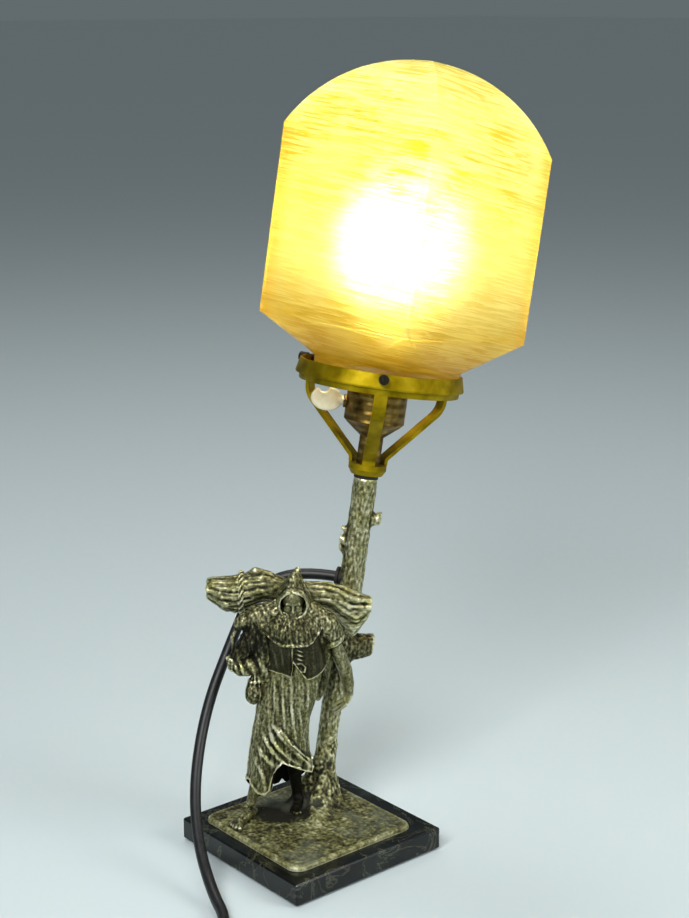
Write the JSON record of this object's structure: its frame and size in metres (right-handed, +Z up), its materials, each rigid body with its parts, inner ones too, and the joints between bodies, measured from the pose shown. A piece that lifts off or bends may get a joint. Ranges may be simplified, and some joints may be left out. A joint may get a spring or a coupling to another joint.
{
  "type": "table lamp",
  "caption": "Night lamp: cast figure with firewood by a leaning tree on a marble slab, brass gallery with turn-key holder and bulb under a square vaulted amber glass shade, with flex.",
  "frame": {"origin": "centre of the marble slab's felted underside, on the table", "axes": "+Z up; X and Y along the slab's edges; the tree leans towards +X; the figure faces the corner at -X -Y"},
  "size_m": [0.3587, 0.1766, 0.4169],
  "materials": {
    "felt": "green-black felt",
    "marble": "polished black marble with faint green veins",
    "spelter": "silvered spelter, worn and darkened",
    "brass": "satin lacquered brass",
    "aged_brass": "dull brown brass",
    "steel": "darkened steel",
    "fibre": "black vulcanised fibre",
    "porcelain": "unglazed white porcelain",
    "key_white": "glossy cream",
    "solder": "dull solder",
    "clear_glass": "clear, lit",
    "tungsten": "glowing wire",
    "amber_glass": "frosted amber, brushed ice pattern",
    "black_flex": "matt black sheath",
    "black_plug": "moulded black",
    "black_tie": "woven strap"
  },
  "bodies": {
    "lamp": {"base_felt": "felt", "marble_base": "marble", "ground_plate": "spelter", "tree_trunk": "spelter", "figure_skirt": "spelter", "front_leg": "spelter", "rear_leg": "spelter", "figure_torso": "spelter", "figure_cape": "spelter", "figure_head": "spelter", "figure_hood": "spelter", "left_arm": "spelter", "right_arm": "spelter", "belt_pouch": "spelter", "firewood_bundle": "spelter", "bundle_tie": "spelter", "gallery_hub": "brass", "gallery_arm_1": "brass", "gallery_arm_2": "brass", "gallery_arm_3": "brass", "gallery_ring": "brass", "holder_cup": "aged_brass", "holder_barrel": "aged_brass", "holder_ring": "aged_brass", "key_bush": "aged_brass", "threaded_nipple": "aged_brass", "contact_plungers": "aged_brass", "base_screws": "steel", "base_washers": "steel", "plug_pins": "steel", "fibre_washer": "fibre", "holder_core": "porcelain", "glass_shade": "amber_glass", "inner_leads": "black_flex", "cord_bush": "black_flex", "cord_free": "black_flex", "cord_coil": "black_flex", "plug_sleeve": "black_flex", "plug_body": "black_plug", "coil_tie": "black_tie"},
    "switch": {"switch_key": "key_white", "switch_stem": "steel", "switch_drum": "fibre"},
    "bulb": {"bulb_cap": "aged_brass", "bulb_pins": "aged_brass", "bulb_contacts": "solder", "bulb_glass": "clear_glass", "bulb_mount": "clear_glass", "bulb_filament": "tungsten"},
    "screw_1": {"shade_screw_1": "steel"},
    "screw_2": {"shade_screw_2": "steel"},
    "screw_3": {"shade_screw_3": "steel"}
  },
  "joints": [
    {"name": "key_turn", "type": "hinge", "parent": "lamp", "child": "switch", "pos_m": [0.06133, 0.0174, 0.2349], "axis": [-0.7859, 0.6018, 0.1421], "continuous": true},
    {"name": "bulb_twist", "type": "hinge", "parent": "lamp", "child": "bulb", "pos_m": [0.06448, 0.0174, 0.25232], "axis": [0.1779, 0, 0.984], "range_deg": [0, 16]},
    {"name": "screw_1_travel", "type": "slide", "parent": "lamp", "child": "screw_1", "axis": [-0.6325, -0.766, 0.1144], "range_m": [0, 0.003]},
    {"name": "screw_2_travel", "type": "slide", "parent": "lamp", "child": "screw_2", "axis": [0.9691, -0.1736, -0.1752], "range_m": [0, 0.003]},
    {"name": "screw_3_travel", "type": "slide", "parent": "lamp", "child": "screw_3", "axis": [-0.3366, 0.9397, 0.0609], "range_m": [0, 0.003]}
  ]
}
